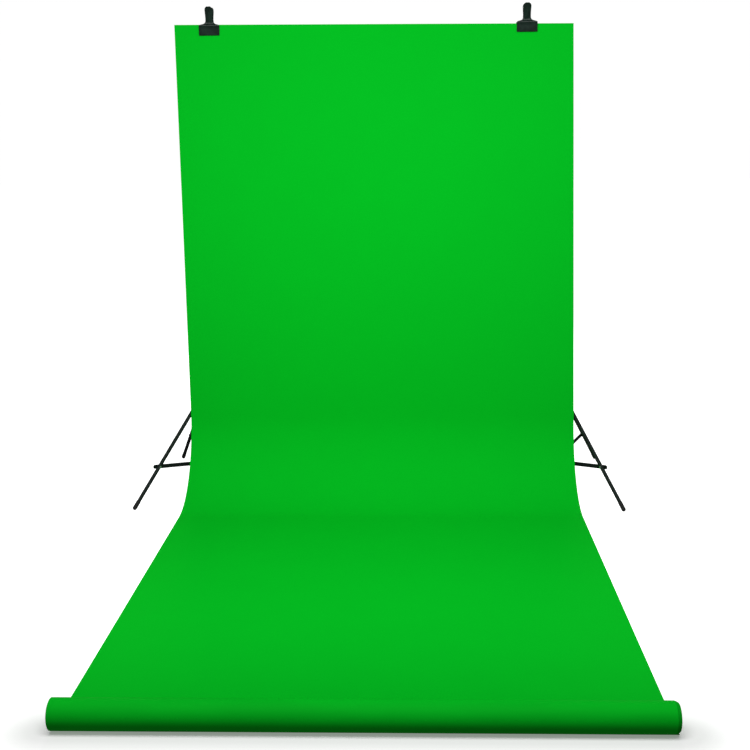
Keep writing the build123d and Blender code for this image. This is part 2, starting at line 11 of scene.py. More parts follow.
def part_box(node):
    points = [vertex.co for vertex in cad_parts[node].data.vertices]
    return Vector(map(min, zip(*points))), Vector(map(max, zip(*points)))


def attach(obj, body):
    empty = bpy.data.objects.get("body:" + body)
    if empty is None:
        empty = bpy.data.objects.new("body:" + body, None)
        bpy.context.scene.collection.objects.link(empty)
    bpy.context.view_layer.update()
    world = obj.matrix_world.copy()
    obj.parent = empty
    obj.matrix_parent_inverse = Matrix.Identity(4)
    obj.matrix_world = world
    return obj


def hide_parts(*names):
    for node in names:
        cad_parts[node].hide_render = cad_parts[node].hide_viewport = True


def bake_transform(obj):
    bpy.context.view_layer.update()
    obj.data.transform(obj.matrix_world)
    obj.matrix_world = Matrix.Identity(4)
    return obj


bl_info = {
    "name": "Backdrop Paper Roll",
    "version": (1, 0, 0),
    "blender": (4, 5, 0),
    "location": "View3D > Sidebar > Backdrop",
    "description": "Seamless backdrop paper with its roll, spring clips, crossbar and light stands",
    "category": "Add Mesh",
}

MM = 0.001
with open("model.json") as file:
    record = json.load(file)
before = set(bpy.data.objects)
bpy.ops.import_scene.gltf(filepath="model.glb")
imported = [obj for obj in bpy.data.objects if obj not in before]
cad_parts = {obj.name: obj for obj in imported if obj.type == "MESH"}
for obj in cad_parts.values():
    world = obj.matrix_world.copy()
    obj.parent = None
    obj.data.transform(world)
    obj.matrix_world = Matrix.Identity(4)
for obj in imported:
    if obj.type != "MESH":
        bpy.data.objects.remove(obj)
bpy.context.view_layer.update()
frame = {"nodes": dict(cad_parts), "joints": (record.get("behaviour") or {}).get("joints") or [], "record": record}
JOINTS = {joint["name"]: joint for joint in frame["joints"]}
SIDES = ("left", "right")
LEGS = (1, 2, 3)

# Places read from the frame, in metres
DROP_LOW, DROP_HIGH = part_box("paper_drop")
SWEEP_LOW, SWEEP_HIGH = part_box("paper_sweep")
ROLL_LOW, ROLL_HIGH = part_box("wound_paper")
CORE_LOW, CORE_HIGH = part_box("core_tube")
BAR_LOW, BAR_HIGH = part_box("crossbar_left_section")
ROLL_CENTRE = (ROLL_LOW + ROLL_HIGH) / 2
ROLL_RADIUS = (ROLL_HIGH.z - ROLL_LOW.z) / 2
CORE_RADIUS = (CORE_HIGH.z - CORE_LOW.z) / 2
BAR_CENTRE = (BAR_LOW + BAR_HIGH) / 2
BAR_RADIUS = (BAR_HIGH.z - BAR_LOW.z) / 2
PAPER_WIDTH = SWEEP_HIGH.x - SWEEP_LOW.x
PAPER_TOP = DROP_HIGH.z


# Studio: strength of the fill from all round, the floor's painted glow as distance from the roll in
# metres and brightness (dim beside the roll as painted shade round it, white further off as painted
# light), the camera's lens in millimetres, place in metres and turn in radians, and the lamps as name,
# place, aim, width and length in metres, power in watts and whether shiny pieces mirror them
FILL = 0.12
FLOOR_PAINTED_GLOW = ((0.05, 0.24), (0.17, 0.66), (0.5, 1.0))
CAMERA_LENS = 57.6
CAMERA_PLACE = (0.1095, -3.0987, 1.2675)
CAMERA_YAW, CAMERA_PITCH, CAMERA_ROLL = -0.0318, 0.2017, 0.0095
LAMPS = (
    ("Overhead bank", (0.0, -1.6, 3.4), (0.0, -0.9, 0.0), 3.0, 1.6, 80.0, True),
    ("Backdrop bank", (0.0, -0.5, 1.35), (0.0, 1.1, 1.05), 2.4, 1.2, 20.0, False),
    ("Rear bank", (0.0, 3.9, 2.3), (0.0, 1.1, 0.8), 2.6, 1.8, 62.0, True),
)


# ---- shader values ----


class Value:
    """A shader socket whose sums, products and powers add Math nodes."""

    def __init__(self, finish, socket):
        self.finish = finish
        self.socket = socket

    def maths(self, operation, first, second):
        return self.finish.node("ShaderNodeMath", {"operation": operation}, {0: first, 1: second})

    def __add__(self, other):
        return self.maths("ADD", self, other)

    __radd__ = __add__

    def __sub__(self, other):
        return self.maths("SUBTRACT", self, other)

    def __rsub__(self, other):
        return self.maths("SUBTRACT", other, self)

    def __mul__(self, other):
        return self.maths("MULTIPLY", self, other)

    __rmul__ = __mul__

    def __pow__(self, other):
        return self.maths("POWER", self, other)


class Finish:
    """A Principled material whose nodes are added by node()."""

    def __init__(self, name, **constants):
        self.material = bpy.data.materials.new(name)
        self.material.use_nodes = True
        self.tree = self.material.node_tree
        self.shader = self.tree.nodes["Principled BSDF"]
        for socket, value in constants.items():
            self.shader.inputs[socket.replace("_", " ")].default_value = value

    def node(self, kind, settings=None, inputs=None, output=0):
        """Adds a node of one kind, sets it, fills its sockets and gives one output as a Value."""
        made = self.tree.nodes.new(kind)
        for name, value in (settings or {}).items():
            if name == "stops":
                ramp = made.color_ramp.elements
                for index, (place, colour) in enumerate(value):
                    stop = ramp[index] if index < 2 else ramp.new(place)
                    stop.position = place
                    stop.color = (*colour, 1.0)
            else:
                setattr(made, name, value)
        for name, value in (inputs or {}).items():
            if isinstance(value, Value):
                self.tree.links.new(value.socket, made.inputs[name])
            else:
                made.inputs[name].default_value = value
        return Value(self, made.outputs[output])

    def object_place(self):
        return self.node("ShaderNodeTexCoord", output="Object")

    def stretched(self, place, scale):
        return self.node("ShaderNodeMapping", {}, {"Vector": place, "Scale": scale})

    def noise(self, place, scale, detail=3.0, roughness=0.5):
        inputs = {"Vector": place, "Scale": scale, "Detail": detail, "Roughness": roughness}
        return self.node("ShaderNodeTexNoise", {}, inputs)

    def ramp(self, value, stops):
        return self.node("ShaderNodeValToRGB", {"stops": stops}, {"Fac": value})

    def mask(self, value, low, high):
        """0 below low, 1 above high and smooth in between."""
        inputs = {"Value": value, "From Min": low, "From Max": high}
        return self.node("ShaderNodeMapRange", {"interpolation_type": "SMOOTHSTEP"}, inputs)

    def mix(self, share, first, second):
        return self.node("ShaderNodeMix", {"data_type": "RGBA"}, {0: share, 6: first, 7: second}, 2)

    def feed(self, name, value):
        self.tree.links.new(value.socket, self.shader.inputs[name])

    def bump(self, height, strength, distance):
        inputs = {"Height": height, "Strength": strength, "Distance": distance}
        self.feed("Normal", self.node("ShaderNodeBump", {}, inputs))


def rgba(colour, share=1.0):
    """A colour's three numbers, scaled, with full alpha."""
    return (colour[0] * share, colour[1] * share, colour[2] * share, 1.0)


def seamless_paper(colour):
    """Dyed seamless paper: soft mottling, short fibres, and faint bands along its length."""
    finish = Finish("Seamless paper", Specular_IOR_Level=0.02)
    along = finish.node("ShaderNodeUVMap", {"uv_map": "Sheet"})
    mottle = finish.noise(along, 9.0, 5.0, 0.6)
    cloud = finish.noise(along, 1.3, 3.0)
    fibres = finish.noise(finish.stretched(along, (900.0, 320.0, 1.0)), 1.0, 3.0, 0.6)
    grain = finish.noise(along, 240.0, 3.0, 0.7)
    tone = finish.mask(mottle * 0.5 + cloud * 0.5, 0.34, 0.66)
    base = finish.mix(tone, rgba(colour, 0.975), rgba(colour, 1.02))
    grained = finish.mix(finish.mask(grain, 0.35, 0.65), rgba(colour, 0.96), base)
    flecks = finish.mask(fibres, 0.62, 0.8)
    finish.feed("Base Color", finish.mix(flecks * 0.3, grained, rgba(colour, 1.16)))
    finish.feed("Roughness", 0.72 + mottle * 0.14 + grain * 0.06)
    finish.bump(fibres * 0.6 + grain * 0.4, 0.35, 0.00012)
    return finish.material


def rolled_paper(colour):
    """The same paper wound on the roll, painted lighter than the hanging sheet as painted light, with fine edges
    of its layers at the ends.
    """
    finish = Finish("Rolled paper", Specular_IOR_Level=0.03)
    place = finish.object_place()
    mottle = finish.noise(finish.stretched(place, (2.0, 9.0, 9.0)), 1.6, 4.0, 0.55)
    fibres = finish.noise(finish.stretched(place, (320.0, 900.0, 900.0)), 1.0, 3.0, 0.6)
    split = finish.node("ShaderNodeSeparateXYZ", {}, {0: place}, "X")
    down = finish.node("ShaderNodeSeparateXYZ", {}, {0: place}, "Y") - ROLL_CENTRE.y
    up = finish.node("ShaderNodeSeparateXYZ", {}, {0: place}, "Z") - ROLL_CENTRE.z
    radius = (down * down + up * up) ** 0.5
    layers = finish.node("ShaderNodeMath", {"operation": "PINGPONG"}, {0: radius, 1: 0.0003}) * 3000.0
    reach = finish.node("ShaderNodeMath", {"operation": "ABSOLUTE"}, {0: split})
    at_end = finish.mask(reach, PAPER_WIDTH / 2 - 0.02, PAPER_WIDTH / 2 - 0.019)
    face = at_end * (1.0 - finish.mask(radius, ROLL_RADIUS - 0.0008, ROLL_RADIUS - 0.0004))
    tone = finish.mask(mottle, 0.36, 0.64)
    # Painted light: the roll's outer face is 1.06 to 1.15 times the paper's colour, lighter than the same paper on
    # the sheet.
    side = finish.mix(tone, rgba(colour, 1.06), rgba(colour, 1.15))
    edge = finish.mix(layers, rgba(colour, 0.7), rgba(colour, 1.0))
    finish.feed("Base Color", finish.mix(face, side, edge))
    finish.feed("Roughness", 0.6 + mottle * 0.14 + face * 0.15)
    finish.bump(fibres * (1.0 - face) * 0.5 + layers * face, 0.35, 0.00015)
    return finish.material


def core_board(colour):
    """Spiral-wound brown board with its seam lines and pressed fibres."""
    finish = Finish("Core board", Specular_IOR_Level=0.3)
    place = finish.object_place()
    fibres = finish.noise(finish.stretched(place, (200.0, 700.0, 700.0)), 1.0, 4.0, 0.6)
    mottle = finish.noise(place, 26.0, 3.0)
    tilted = finish.node("ShaderNodeMapping", {}, {"Vector": place, "Rotation": (0.0, 0.55, 0.35)})
    waves = {"wave_type": "BANDS", "bands_direction": "X", "wave_profile": "SAW"}
    seams = finish.node("ShaderNodeTexWave", waves, {"Vector": tilted, "Scale": 4.2}, "Fac")
    lines = finish.mask(seams, 0.94, 1.0)
    tone = finish.mask(mottle * 0.5 + fibres * 0.5, 0.35, 0.65)
    base = finish.mix(tone, rgba(colour, 0.8), rgba(colour, 1.15))
    finish.feed("Base Color", finish.mix(lines * 0.7, base, rgba(colour, 0.4)))
    finish.feed("Roughness", 0.82 + fibres * 0.12)
    finish.bump(fibres * 0.5 - lines, 0.4, 0.0002)
    return finish.material


def coated_tube(colour):
    """Powder-coated tube: orange-peel skin, slight scuffs where sections slide."""
    finish = Finish("Black coated tube", Specular_IOR_Level=0.2)
    place = finish.object_place()
    peel = finish.noise(place, 900.0, 2.0)
    smears = finish.noise(finish.stretched(place, (60.0, 60.0, 9.0)), 1.0, 4.0, 0.6)
    scuffs = finish.mask(finish.noise(finish.stretched(place, (420.0, 420.0, 14.0)), 1.0, 2.0), 0.69, 0.76)
    worn = scuffs * finish.mask(smears, 0.5, 0.68)
    base = finish.mix(finish.mask(smears, 0.3, 0.7), rgba(colour, 0.8), rgba(colour, 1.5))
    finish.feed("Base Color", finish.mix(worn * 0.4, base, (0.05, 0.055, 0.052, 1.0)))
    finish.feed("Roughness", 0.48 + smears * 0.16 + peel * 0.06 - worn * 0.06)
    finish.bump(peel - worn * 0.4, 0.12, 0.0002)
    return finish.material


def clip_lacquer(colour):
    """Glossy black lacquer on pressed steel, thin and duller along its edges."""
    finish = Finish("Clip lacquer", Specular_IOR_Level=0.4, Coat_Weight=0.25, Coat_Roughness=0.16)
    place = finish.object_place()
    smears = finish.noise(place, 55.0, 4.0, 0.6)
    peel = finish.noise(place, 1300.0, 2.0)
    pointed = finish.node("ShaderNodeNewGeometry", output="Pointiness")
    edges = finish.mask(pointed, 0.56, 0.68) * finish.mask(smears, 0.42, 0.6)
    base = finish.mix(finish.mask(smears, 0.3, 0.7), rgba(colour, 0.8), rgba(colour, 1.6))
    finish.feed("Base Color", finish.mix(edges * 0.35, base, (0.1, 0.12, 0.11, 1.0)))
    finish.feed("Roughness", 0.22 + smears * 0.2)
    finish.bump(peel, 0.08, 0.0002)
    return finish.material


def moulded_plastic(colour):
    """Spark-textured black nylon, rubbed smoother where hands turn it."""
    finish = Finish("Black moulded plastic", Specular_IOR_Level=0.45)
    place = finish.object_place()
    sparks = {"Vector": place, "Scale": 1500.0}
    spark = finish.node("ShaderNodeTexVoronoi", {"feature": "F1"}, sparks, "Distance")
    cloud = finish.noise(place, 45.0, 3.0)
    base = finish.mix(finish.mask(cloud, 0.35, 0.65), rgba(colour, 0.85), rgba(colour, 1.4))
    finish.feed("Base Color", base)
    finish.feed("Roughness", 0.44 + cloud * 0.16 + spark * 0.1)
    finish.bump(spark, 0.25, 0.0002)
    return finish.material


def foot_rubber(colour):
    """Dull rubber, greyed by dust low down."""
    finish = Finish("Black rubber", Specular_IOR_Level=0.35)
    place = finish.object_place()
    cloud = finish.noise(place, 90.0, 4.0, 0.6)
    grain = finish.noise(place, 1600.0, 2.0)
    height = finish.node("ShaderNodeSeparateXYZ", {}, {0: place}, "Z")
    dust = (1.0 - finish.mask(height, 0.001, 0.014)) * finish.mask(cloud, 0.4, 0.65)
    finish.feed("Base Color", finish.mix(dust * 0.4, rgba(colour), (0.12, 0.115, 0.105, 1.0)))
    finish.feed("Roughness", 0.72 + cloud * 0.16)
    finish.bump(grain + cloud * 0.4, 0.25, 0.0002)
    return finish.material


def plated_steel(colour):
    """Zinc-plated steel with fine brushing and dull patches."""
    finish = Finish("Plated steel", Metallic=1.0, Specular_IOR_Level=0.5)
    place = finish.object_place()
    cloud = finish.noise(place, 120.0, 4.0, 0.6)
    brushed = finish.noise(finish.stretched(place, (2600.0, 2600.0, 180.0)), 1.0, 2.0)
    tone = finish.mask(cloud, 0.35, 0.7)
    finish.feed("Base Color", finish.mix(tone, rgba(colour, 0.75), rgba(colour, 1.15)))
    finish.feed("Roughness", 0.26 + cloud * 0.2 + brushed * 0.08)
    finish.bump(brushed, 0.1, 0.0001)
    return finish.material


def floor_paint():
    """Pale floor with the slightest cloud in it, glowing: painted shade where its glow dims beside the roll,
    painted light where it glows white further off.
    """
    finish = Finish("Pale floor", Specular_IOR_Level=0.0, Emission_Strength=1.0)
    place = finish.object_place()
    cloud = finish.noise(place, 2.0, 2.0)
    across = finish.node("ShaderNodeSeparateXYZ", {}, {0: place}, "X")
    along = finish.node("ShaderNodeSeparateXYZ", {}, {0: place}, "Y") - ROLL_CENTRE.y
    beyond = finish.node("ShaderNodeMath", {"operation": "ABSOLUTE"}, {0: across}) - PAPER_WIDTH / 2
    past_end = finish.node("ShaderNodeMath", {"operation": "MAXIMUM"}, {0: beyond, 1: 0.0})
    away = (past_end * past_end + along * along) ** 0.5
    # Painted shade and painted light: the glow is dim beside the roll and white from half a metre off.
    stops = [(distance, (glow, glow, glow)) for distance, glow in FLOOR_PAINTED_GLOW]
    finish.feed("Emission Color", finish.ramp(away, stops))
    finish.feed("Base Color", finish.mix(cloud, (0.86, 0.86, 0.86, 1.0), (0.9, 0.9, 0.9, 1.0)))
    finish.feed("Roughness", 0.8 + cloud * 0.1)
    return finish.material


def dome_paint():
    """White beyond the floor."""
    finish = Finish("White surround", Base_Color=(0, 0, 0, 1), Emission_Strength=1.0)
    finish.shader.inputs["Emission Color"].default_value = (1.0, 1.0, 1.0, 1.0)
    return finish.material


FINISHES = {}


def finish_for(slot):
    """The material of one slot, made once."""
    makers = {
        "green_paper": (seamless_paper, "paper_colour"),
        "rolled_paper": (rolled_paper, "paper_colour"),
        "core_board": (core_board, "board_colour"),
        "black_tube": (coated_tube, "tube_colour"),
        "black_clip": (clip_lacquer, "clip_colour"),
        "black_plastic": (moulded_plastic, "plastic_colour"),
        "black_rubber": (foot_rubber, "rubber_colour"),
        "bright_steel": (plated_steel, "steel_colour"),
    }
    if slot not in FINISHES:
        make, colour = makers[slot]
        FINISHES[slot] = make(getattr(bpy.context.scene.backdrop_finishes, colour))
    return FINISHES[slot]


# ---- mesh helpers ----


def clear_selection():
    if bpy.context.mode != "OBJECT":
        bpy.ops.object.mode_set(mode="OBJECT")
    bpy.ops.object.select_all(action="DESELECT")


def newly_made(name):
    """Names the primitive that was just added and lays its place into its mesh."""
    piece = bpy.context.active_object
    piece.name = name
    piece.data.name = name
    bpy.ops.object.transform_apply(location=True, rotation=True, scale=True)
    return piece


def make_active(piece):
    clear_selection()
    piece.select_set(True)
    bpy.context.view_layer.objects.active = piece


def apply_modifier(piece, kind, **settings):
    """Adds one modifier, sets it and applies it."""
    make_active(piece)
    modifier = piece.modifiers.new(kind, kind)
    for name, value in settings.items():
        setattr(modifier, name, value)
    bpy.ops.object.modifier_apply(modifier=modifier.name)


def pick(piece, kind, wanted):
    """In edit mode, selects only the vertices, edges or faces that pass wanted."""
    bpy.ops.mesh.select_mode(type=kind)
    bpy.ops.mesh.select_all(action="DESELECT")
    mesh = bmesh.from_edit_mesh(piece.data)
    parts = {"VERT": mesh.verts, "EDGE": mesh.edges, "FACE": mesh.faces}[kind]
    for part in parts:
        part.select_set(bool(wanted(part)))
    mesh.select_flush_mode()
    bmesh.update_edit_mesh(piece.data)


def begin_edit(piece, kind="FACE"):
    make_active(piece)
    bpy.ops.object.mode_set(mode="EDIT")
    bpy.ops.mesh.select_mode(type=kind)


def end_edit():
    """Merges doubles, turns the faces outwards and leaves edit mode."""
    bpy.ops.mesh.select_all(action="SELECT")
    bpy.ops.mesh.remove_doubles(threshold=1e-6)
    bpy.ops.mesh.normals_make_consistent(inside=False)
    bpy.ops.object.mode_set(mode="OBJECT")


def smooth(piece, degrees=35.0):
    make_active(piece)
    bpy.ops.object.shade_smooth_by_angle(angle=radians(degrees))


def soften_edges(piece, width, segments):
    """A narrow bevel on the sharp edges."""
    settings = {"limit_method": "ANGLE", "angle_limit": radians(50)}
    apply_modifier(piece, "BEVEL", width=width, segments=segments, **settings)


def dress(piece, slot, body, *replaced, record_slot=None):
    """Gives a finished piece the material of its slot, hides the frame nodes that it stands for and hangs it on
    its body.
    """
    piece.data.materials.clear()
    piece.data.materials.append(finish_for(slot))
    if replaced:
        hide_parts(*replaced)
    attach(piece, body)
    return piece


# ---- paper ----


SHEET_COLUMNS = 72
SHEET_ROWS = 220


def sheet_profile(sizes):
    """The drop's length, the whole sheet's, and a function from run along it to (y, z)."""
    foot_y = SWEEP_LOW.y + sizes.floor_run
    lean = radians(sizes.drop_lean)
    radius = sizes.cove_radius
    cove_end = Vector((foot_y + radius * cos(lean), radius * (1 - sin(lean))))
    drop = (PAPER_TOP - cove_end.y) / cos(lean)
    cove = radius * (pi / 2 - lean)
    tuck = sizes.tuck_angle * (ROLL_RADIUS + sizes.sheet_gap)
    total = drop + cove + sizes.floor_run + tuck

    def place(run):
        if run <= drop:
            rest = drop - run
            return cove_end.x + rest * sin(lean), cove_end.y + rest * cos(lean)
        if run <= drop + cove:
            turn = pi / 2 - lean - (run - drop) / radius
            return foot_y + radius * sin(turn), radius * (1 - cos(turn))
        if run <= drop + cove + sizes.floor_run:
            return foot_y - (run - drop - cove), 0.0
        reach = ROLL_RADIUS + sizes.sheet_gap
        turn = (run - drop - cove - sizes.floor_run) / reach
        return ROLL_CENTRE.y - reach * sin(turn), reach * (1 - cos(turn))

    return drop, total, place


def sheet_ripple(x, run, drop, sizes):
    """How far the hanging paper bows out of its plane."""
    side = 2 * x / PAPER_WIDTH
    hanging = max(0.0, 1 - run / drop)
    held = sin(pi * min(1.0, run / drop)) ** 2
    wave = sin(2.3 * side + 0.8) * 0.55 + sin(5.1 * side - 0.6 + 1.7 * hanging) * 0.3
    between_clips = cos(pi * side / 2) * hanging**2 * (1 - hanging) ** 0.5
    return sizes.drop_ripple * (held * wave + 0.6 * between_clips)


def build_sheet(sizes):
    """One sheet from the top edge to where it goes under the roll."""
    drop, total, place = sheet_profile(sizes)
    clear_selection()
    bpy.ops.mesh.primitive_grid_add(x_subdivisions=SHEET_COLUMNS, y_subdivisions=SHEET_ROWS, size=1.0)
    sheet = newly_made("backdrop_sheet")
    mesh = sheet.data
    layer = mesh.uv_layers[0]
    layer.name = "Sheet"
    flat = [vertex.co.copy() for vertex in mesh.vertices]
    for loop in mesh.loops:
        point = flat[loop.vertex_index]
        layer.data[loop.index].uv = ((point.x + 0.5) * PAPER_WIDTH, (0.5 - point.y) * total)
    step = total * 1e-4
    for vertex, point in zip(mesh.vertices, flat):
        x = point.x * PAPER_WIDTH
        run = (0.5 - point.y) * total
        y, z = place(run)
        ahead_y, ahead_z = place(min(total, run + step))
        back_y, back_z = place(max(0.0, run - step))
        length = hypot(ahead_y - back_y, ahead_z - back_z)
        normal_y, normal_z = (ahead_z - back_z) / length, -(ahead_y - back_y) / length
        bow = sheet_ripple(x, run, drop, sizes) if run < drop else 0.0
        hung = max(0.0, 1 - run / drop)
        shift = sizes.top_shift * hung
        rise = -2 * sizes.top_skew * hung * x / PAPER_WIDTH
        vertex.co = (x + shift, y - abs(normal_y) * bow, z + normal_z * bow + rise)
    begin_edit(sheet)
    end_edit()
    facing = sum((face.normal.z for face in mesh.polygons), 0.0)
    if facing < 0:
        mesh.flip_normals()
    apply_modifier(sheet, "SOLIDIFY", thickness=sizes.sheet_thickness, offset=1.0)
    smooth(sheet, 60.0)
    sheet.data.materials.append(finish_for("green_paper"))
    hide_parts("paper_drop", "paper_sweep")
    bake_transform(sheet)
    return sheet


ROLL_SIDES = 128


def step_cap(roll, side, width, step):
    """Insets the flat cap at one end by a ring's width and pushes what is inside it out by one step."""
    pick(roll, "FACE", lambda face: len(face.verts) == ROLL_SIDES and face.normal.x * side > 0.9)
    bpy.ops.mesh.inset(thickness=width, depth=0.0)
    if step:
        bpy.ops.mesh.extrude_region_move(TRANSFORM_OT_translate={"value": (side * step, 0, 0)})


def build_roll(sizes):
    """Wound paper: a turned cylinder with stepped layers at its ends and the core's hole through it."""
    clear_selection()
    bpy.ops.mesh.primitive_cylinder_add(
        vertices=ROLL_SIDES,
        radius=ROLL_RADIUS,
        depth=PAPER_WIDTH,
        location=ROLL_CENTRE,
        rotation=(0, pi / 2, 0),
    )
    roll = newly_made("wound_roll")
    begin_edit(roll)
    pick(roll, "FACE", lambda face: len(face.verts) == ROLL_SIDES and face.normal.x > 0.9)
    bpy.ops.transform.translate(value=(-sum(sizes.right_end_steps) * MM, 0, 0))
    depth = ROLL_RADIUS - CORE_RADIUS
    for side, steps in ((-1, sizes.left_end_steps), (1, sizes.right_end_steps)):
        for step in (*steps, 0.0):
            step_cap(roll, side, depth / (len(steps) + 1), step * MM)
    pick(roll, "FACE", lambda face: len(face.verts) == ROLL_SIDES)
    bpy.ops.mesh.delete(type="FACE")
    pick(roll, "EDGE", lambda edge: edge.is_boundary)
    bpy.ops.mesh.bridge_edge_loops()
    end_edit()
    soften_edges(roll, 0.00012, 1)
    smooth(roll, 40.0)
    return dress(roll, "rolled_paper", "roll", "wound_paper", record_slot="green_paper")


# ---- spring clips ----

# Height above the hinge, reach out from it as a share of the jaw's, and half width, in millimetres
CLIP_ROWS = (
    (-38.0, 0.95, 33.8),
    (-37.2, 1.0, 34.6),
    (-36.0, 1.0, 35.0),
    (-28.0, 1.0, 35.0),
    (-18.0, 1.0, 35.0),
    (-9.5, 1.0, 35.0),
    (-8.0, 1.04, 35.0),
    (-6.4, 1.08, 34.8),
    (-4.8, 1.04, 33.6),
    (-3.6, 0.93, 30.4),
    (-2.2, 0.8, 25.4),
    (-0.6, 0.69, 20.4),
    (1.4, 0.6, 16.8),
    (4.4, 0.55, 14.4),
    (9.0, 0.56, 12.6),
    (18.0, 0.67, 12.1),
    (28.0, 0.79, 12.4),
    (38.0, 0.92, 13.0),
    (46.0, 1.03, 13.2),
    (50.0, 1.09, 12.4),
    (53.0, 1.13, 10.6),
    (55.0, 1.16, 7.8),
    (56.2, 1.175, 4.6),
)


CLIP_COLUMNS = 10
# Shares of the handle's half width inside which it is pressed out once more, for its crown
CROWN_BANDS = (0.85, 0.65, 0.45, 0.25)
HANDLE_FOOT = 0.009
HANDLE_HALF_WIDTH = 0.013


def clip_plate(name, facing, reach, sizes):
    """One pressed arm about its hinge at the origin: jaw, shoulders, neck and crowned handle."""
    clear_selection()
    steps = len(CLIP_ROWS) - 1
    bpy.ops.mesh.primitive_grid_add(x_subdivisions=CLIP_COLUMNS, y_subdivisions=steps, size=2.0)
    plate = newly_made(name)
    begin_edit(plate, "VERT")
    spacing = 2.0 / steps

    def in_row(vertex, place):
        return vertex.co.z == 0.0 and abs(vertex.co.y - place) < spacing / 4

    def in_band(vertex, share):
        return vertex.co.z > HANDLE_FOOT and abs(vertex.co.x) < share * HANDLE_HALF_WIDTH

    for index, (height, share, half_width) in enumerate(CLIP_ROWS):
        place = -1.0 + index * spacing
        pick(plate, "VERT", lambda vertex: in_row(vertex, place))
        bpy.ops.transform.resize(value=(half_width * MM, 1, 1))
        bpy.ops.transform.translate(value=(0, facing * reach * share - place, height * MM + 1e-9))
    for share in CROWN_BANDS:
        pick(plate, "VERT", lambda vertex: in_band(vertex, share))
        bpy.ops.transform.translate(value=(0, facing * sizes.handle_crown / len(CROWN_BANDS), 0))
    end_edit()
    apply_modifier(plate, "SOLIDIFY", thickness=sizes.clip_plate, offset=0.0)
    return plate


LUG_RADIUS = 0.005
LUG_THICKNESS = 0.002


def clip_lug(name, x, facing, reach):
    """Ear of a clip arm: a disc about the hinge, drawn out to the arm."""
    clear_selection()
    bpy.ops.mesh.primitive_cylinder_add(
        vertices=32, radius=LUG_RADIUS, depth=LUG_THICKNESS, location=(x, 0, 0), rotation=(0, pi / 2, 0)
    )
    lug = newly_made(name)
    begin_edit(lug)
    pick(lug, "FACE", lambda face: face.normal.y * facing > 0.3)
    bpy.ops.mesh.extrude_region_move(TRANSFORM_OT_translate={"value": (0, facing * reach, 0)})
    end_edit()
    return lug


def build_clip(side, sizes):
    """Both arms of one clip, closed on the paper and the bar."""
    hinge = Vector(JOINTS[f"{side}_clip_open"]["pos_m"])
    arms = (
        ("front", -1, sizes.front_jaw_reach, sizes.front_ear, f"{side}_clip_front_arm"),
        ("rear", 1, sizes.rear_jaw_reach, sizes.rear_ear, "crossbar"),
    )
    for which, facing, reach, ear, body in arms:
        arm = clip_plate(f"{side}_{which}_jaw", facing, reach, sizes)
        lugs = [clip_lug(f"{side}_{which}_lug", x, facing, reach * 0.5) for x in (-ear, ear)]
        make_active(arm)
        for lug in lugs:
            lug.select_set(True)
        bpy.ops.object.join()
        soften_edges(arm, 0.0004, 2)
        arm.data.transform(Matrix.Translation(hinge))
        smooth(arm, 45.0)
        dress(arm, "black_clip", body, f"{side}_clip_{which}_arm")


# ---- small fittings ----


ROUND_SIDES = 40
RIVET_RADIUS = 0.0025
RIVET_HEAD_RADIUS = 0.0042
# A rivet's domed head as rise above the leg or brace, and radius
RIVET_DOME = ((0.0008, RIVET_HEAD_RADIUS), (0.0016, 0.0034), (0.0020, 0.0018))
PLUG_DEPTH = 0.014


def turned_piece(name, radius, rings, direction, place):
    """A round piece from a short cylinder: its far cap is extruded ring by ring as (rise, radius)."""
    clear_selection()
    height = rings[0][0]
    bpy.ops.mesh.primitive_cylinder_add(
        vertices=ROUND_SIDES, radius=radius, depth=height, location=(0, 0, height / 2)
    )
    piece = newly_made(name)
    begin_edit(piece)
    for rise, ring in rings[1:]:
        pick(piece, "FACE", lambda face: len(face.verts) == ROUND_SIDES and face.normal.z > 0.9)
        bpy.ops.mesh.extrude_region_move(TRANSFORM_OT_translate={"value": (0, 0, rise - height)})
        bpy.ops.transform.resize(value=(ring / radius, ring / radius, 1))
        height, radius = rise, ring
    end_edit()
    turn = Vector((0, 0, 1)).rotation_difference(Vector(direction)).to_matrix().to_4x4()
    piece.data.transform(Matrix.Translation(place) @ turn)
    smooth(piece, 35.0)
    return piece


def build_rivets(sizes):
    """The rivet through each leg and its brace: one domed head each side."""
    for side, hand in (("left", -1), ("right", 1)):
        for index in LEGS:
            swing = JOINTS[f"{side}_leg_{index}_swing"]
            across = Vector(swing["axis"]).normalized()
            outward = Vector((across.y, -across.x, 0)).normalized()
            down = Vector((0, 0, -cos(sizes.leg_angle))) + outward * sin(sizes.leg_angle)
            place = Vector(swing["pos_m"]) + down * sizes.brace_joint_down_leg
            far = sizes.leg_radius + sizes.brace_stack
            near = sizes.leg_radius - 0.0002
            long = far + near
            dome = [(long + rise, radius) for rise, radius in RIVET_DOME]
            rings = [(long, RIVET_RADIUS), (long, RIVET_HEAD_RADIUS), *dome]
            start = place - across * hand * near
            name = f"{side}_leg_rivet_{index}"
            rivet = turned_piece(name, RIVET_RADIUS, rings, across * hand, start)
            head_name = f"{side}_leg_rivet_head_{index}"
            head = turned_piece(head_name, RIVET_HEAD_RADIUS, RIVET_DOME, -across * hand, start)
            make_active(rivet)
            head.select_set(True)
            bpy.ops.object.join()
            dress(rivet, "bright_steel", f"{side}_leg_{index}")


